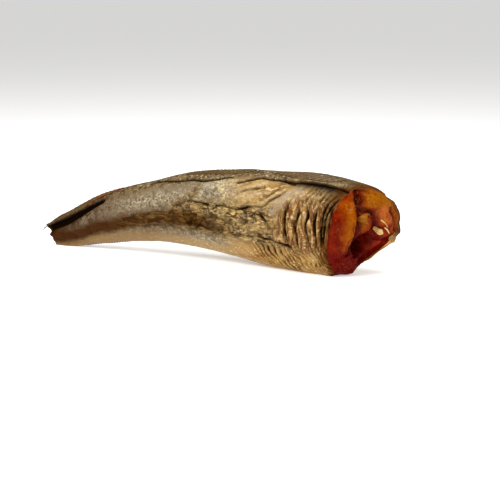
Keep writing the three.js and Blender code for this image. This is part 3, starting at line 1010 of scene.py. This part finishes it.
def add_loose_rays(mesh, blade):
    """Bare ray tips that outlive the membrane: thin tapering tubes from the blade's rear end, which droop by
    the square of the way along them."""
    chance = np.random.default_rng(51)
    t = np.linspace(0, 1, 7)[:, None]
    for across in RAY_COLUMNS:
        start = blade[-RAY_ROOT, across]
        ahead = (blade[-1, across] - start) * chance.uniform(1.5, 2.3)
        droop = np.array([0, chance.uniform(-1, 0.4), chance.uniform(-4, -1)])
        tube = rod(start + ahead * t + droop * t**2, 0.45 * (1 - 0.5 * t[:, 0]), 6)
        part = closed_mesh("ray", tube, {"ray": 0.6 + 0 * tube[..., 0], "front": 0 * tube[..., 0]})
        mesh.from_mesh(part)
        bpy.data.meshes.remove(part)


for name, shape in FINS.items():
    blade, shade = fin(*shape)
    fin_mesh = closed_mesh(name, blade, shade)
    if name == "third_dorsal_fin":
        joined = bmesh.new()
        joined.from_mesh(fin_mesh)
        add_loose_rays(joined, blade)
        joined.to_mesh(fin_mesh)
        joined.free()
    made = piece("folded_" + name, fin_mesh, FIN)
    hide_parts(name)
    print(name, "from", np.round(blade.min((0, 1))), "to", np.round(blade.max((0, 1))), "mm")

# %% [markdown]
# ## Bones in the cut
# The backbone was sawn or snapped through between two vertebrae, so its end is a shallow cup. Two ribs and a
# stub of the collar bone stick out of the far flap. All four are tubes of rings, like the body, and stand on
# the smooth cut, so that their roots lie under its relief.

# %% Bones
def on_cut(side, up, proud):
    """Points that stand some millimetres proud of the smooth head cut."""
    side, up, proud = np.array(side, float), np.array(up, float), np.array(proud, float)
    return place(LENGTH + head_cut(side, up) + proud, side, up)


def bone(name, rings, stain=0):
    """One bone with an uneven surface; the stain is how far smoke and blood have browned it."""
    rings = rings + (0.12 * noise(rings, 1.5, 41))[..., None]
    made = piece(name + "_in_flesh", closed_mesh(name, rings, {"stain": stain + 0 * rings[..., 0]}), BONE)
    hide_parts(name)
    print(name, "from", np.round(rings.min((0, 1))), "to", np.round(rings.max((0, 1))), "mm")


# %% Vertebra: out along its side, over the rim, and down into the cup
out = np.array([-9, -4, 0.6, 1.3, 1.5, 1.2, 0.4, -0.6, -1.2])
wide = np.array([3.6, 3.5, 3.8, 3.7, 3.2, 2.7, 1.9, 1.1, 0.4])
VERTEBRA = {"side": -5.5, "up": 11.5, "points_round": 28}
centre = on_cut(VERTEBRA["side"] + 0 * out, VERTEBRA["up"] + 0 * out, 0 * out)
forward = np.array([1.0, 0, 0])
turn = np.arange(VERTEBRA["points_round"]) / VERTEBRA["points_round"] * 2 * np.pi
circle = np.stack([0 * turn, np.cos(turn), np.sin(turn)], -1)
bone("backbone_end", centre[:, None] + out[:, None, None] * forward + wide[:, None, None] * circle, 1)

# %% Collar bone and ribs: tubes whose middles run a little bowed over the cut
t = np.linspace(0, 1, 9)
bone("collar_bone_stub", rod(on_cut(4.4 - 1.1 * t, 3.6 - 1.8 * t, -5 + 8 * t),
                             [1.9, 1.9, 1.8, 1.8, 1.9, 2.1, 2.1, 1.6, 0.5]), 0.25)
bone("rib_bone_upper", rod(on_cut(4.4 + 2.4 * t + 0.8 * np.sin(np.pi * t), 11 - 5 * t, -1.5 + 3.8 * t),
                           0.6 - 0.35 * t**2, 8))
bone("rib_bone_lower", rod(on_cut(7.2 + 2.2 * t + 0.6 * np.sin(np.pi * t), 5.8 - 4.6 * t, -1.5 + 3.8 * t),
                           0.55 - 0.3 * t**2, 8))

# %% [markdown]
# ## Floor
# The fish lies on a white board. A single large square does for it, matt and a little glowing, so that it
# stays pale right up to the soft shadow under the fish.

# %% Floor
floor_mesh = bpy.data.meshes.new("floor")
floor_mesh.from_pydata([(-60, -60, 0), (60, -60, 0), (60, 60, 0), (-60, 60, 0)], [], [(0, 1, 2, 3)])
floor = put("floor", floor_mesh)
floor_material, _, floor_surface = new_material("matt_white_board")
set_values(floor_surface, Base_Color=linear("#f4f3f1"), Roughness=0.8)
set_values(floor_surface, Emission_Color=(1, 1, 1, 1), Emission_Strength=0.3)
floor_mesh.materials.append(floor_material)

# %% [markdown]
# ## Lights
# Oily skin shows the shape of whatever lights it, so the lamps are broad: a key light in front at the left, a
# wide one above, and a small one at the head end that draws glints in the wet flesh. The world is white to
# the camera and dimmer as a light, so that the creases stay dark.

# %% Lights
world = bpy.data.worlds.new("white_room")
world.use_nodes = True
world.node_tree.nodes["Background"].inputs["Color"].default_value = (1, 1, 1, 1)
seen = add(world.node_tree, "ShaderNodeLightPath").outputs["Is Camera Ray"]
strength = add(world.node_tree, "ShaderNodeMapRange", {3: 0.3, 4: 1.0}, {0: seen}).outputs[0]
world.node_tree.links.new(strength, world.node_tree.nodes["Background"].inputs["Strength"])
bpy.context.scene.world = world


def softbox(name, place_m, aim_m, size_m, watts):
    """A square area light that faces a point."""
    light = bpy.data.lights.new(name, "AREA")
    light.size = size_m
    light.energy = watts
    made = put(name, light)
    made.location = place_m
    direction = np.array(aim_m) - np.array(place_m)
    made.rotation_euler = Vector(direction).to_track_quat("-Z", "Y").to_euler()


softbox("key_softbox", (-0.30, -0.75, 0.75), (0, 0, 0.03), 0.45, 7.5)
softbox("top_softbox", (0.1, 0.1, 1.1), (0, 0, 0), 0.7, 7)
softbox("side_softbox", (0.8, -0.35, 0.45), (0.1, 0, 0.03), 0.25, 2.2)

# %% [markdown]
# ## Camera
# The fish is seen from its right side, from a little above and a little towards the head, with a long lens, so
# that head cut and tail both show without being stretched.

# %% Camera
AZIMUTH, ELEVATION, DISTANCE = math.radians(25), math.radians(12.5), 0.826
TARGET = np.array([0.0312, 0, 0.0101])
camera_data = bpy.data.cameras.new("camera")
camera_data.lens = 85
camera_data.clip_start = 0.01
camera = put("camera", camera_data)
towards = np.array([math.sin(AZIMUTH) * math.cos(ELEVATION), -math.cos(AZIMUTH) * math.cos(ELEVATION),
                    math.sin(ELEVATION)])
camera.location = TARGET + DISTANCE * towards
camera.rotation_euler = Vector(-towards).to_track_quat("-Z", "Y").to_euler()
bpy.context.scene.camera = camera
bpy.context.scene.view_settings.view_transform = "Standard"
bpy.context.scene.view_settings.look = "Medium High Contrast"
print("camera at", np.round(camera.location, 3), "m")
